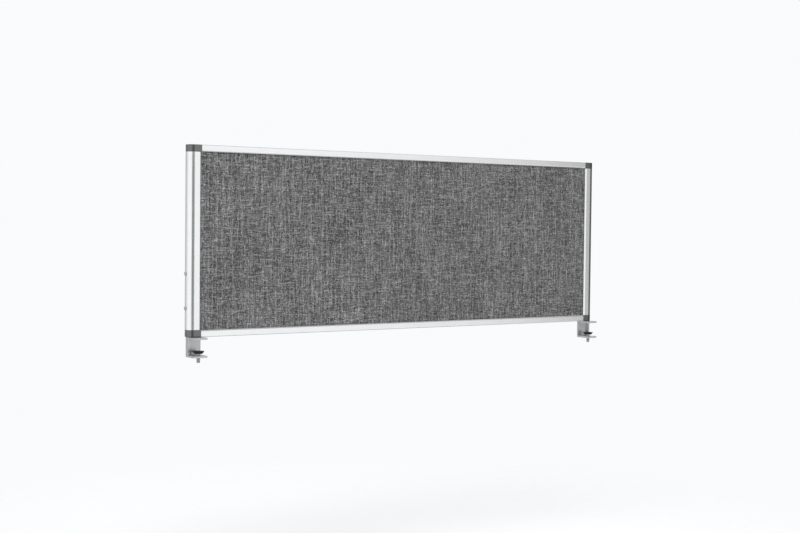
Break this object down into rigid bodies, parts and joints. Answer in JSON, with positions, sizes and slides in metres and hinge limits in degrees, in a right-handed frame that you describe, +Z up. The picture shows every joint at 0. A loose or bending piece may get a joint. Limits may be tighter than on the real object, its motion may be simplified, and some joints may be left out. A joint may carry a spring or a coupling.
{
  "type": "acoustic divider screen",
  "caption": "Long low cloth-covered acoustic screen in a slim aluminium frame with dark corner pieces, held on a desk edge by screw clamps.",
  "frame": {"origin": "midway between the two clamps, in the panel's middle plane, level with the desk top that the brackets' top plates rest on", "axes": "+X along the screen to the right as the user sees it, -Y towards the user and the desk, +Z up"},
  "size_m": [1.4054, 0.0605, 0.5655],
  "materials": {
    "frame": "satin anodised",
    "corner": "satin",
    "board": "raw fibreboard",
    "filling": "felted fibre",
    "cloth": "heathered weave",
    "bracket": "satin grey",
    "zinc": "zinc plated",
    "pad": "matt"
  },
  "bodies": {
    "screen": {"left_post": "frame", "right_post": "frame", "top_rail": "frame", "bottom_rail": "frame", "corner_top_left": "corner", "corner_top_right": "corner", "corner_bottom_left": "corner", "corner_bottom_right": "corner", "core_board": "board", "front_acoustic_pad": "filling", "back_acoustic_pad": "filling", "front_fabric": "cloth", "back_fabric": "cloth", "left_clamp_bracket": "bracket", "right_clamp_bracket": "bracket", "left_post_screws": "zinc", "right_post_screws": "zinc"},
    "left_swivel_pad": {"left_clamp_pad": "pad"},
    "left_jack": {"left_jack_screw": "zinc"},
    "right_swivel_pad": {"right_clamp_pad": "pad"},
    "right_jack": {"right_jack_screw": "zinc"}
  },
  "joints": [
    {"name": "left_pad_lift", "type": "slide", "parent": "screen", "child": "left_swivel_pad", "axis": [0, 0, 1], "range_m": [-0.0015, 0.012]},
    {"name": "left_jack_turn", "type": "hinge", "parent": "left_swivel_pad", "child": "left_jack", "pos_m": [-0.675, -0.026, -0.045], "axis": [0, 0, 1], "range_deg": [-360, 2880]},
    {"name": "right_pad_lift", "type": "slide", "parent": "screen", "child": "right_swivel_pad", "axis": [0, 0, 1], "range_m": [-0.0015, 0.012]},
    {"name": "right_jack_turn", "type": "hinge", "parent": "right_swivel_pad", "child": "right_jack", "pos_m": [0.675, -0.026, -0.045], "axis": [0, 0, 1], "range_deg": [-360, 2880]}
  ],
  "couplings": [
    {"joint": "left_jack_turn", "follows": "left_pad_lift", "rad_per_m": 4188.8},
    {"joint": "right_jack_turn", "follows": "right_pad_lift", "rad_per_m": 4188.8}
  ]
}
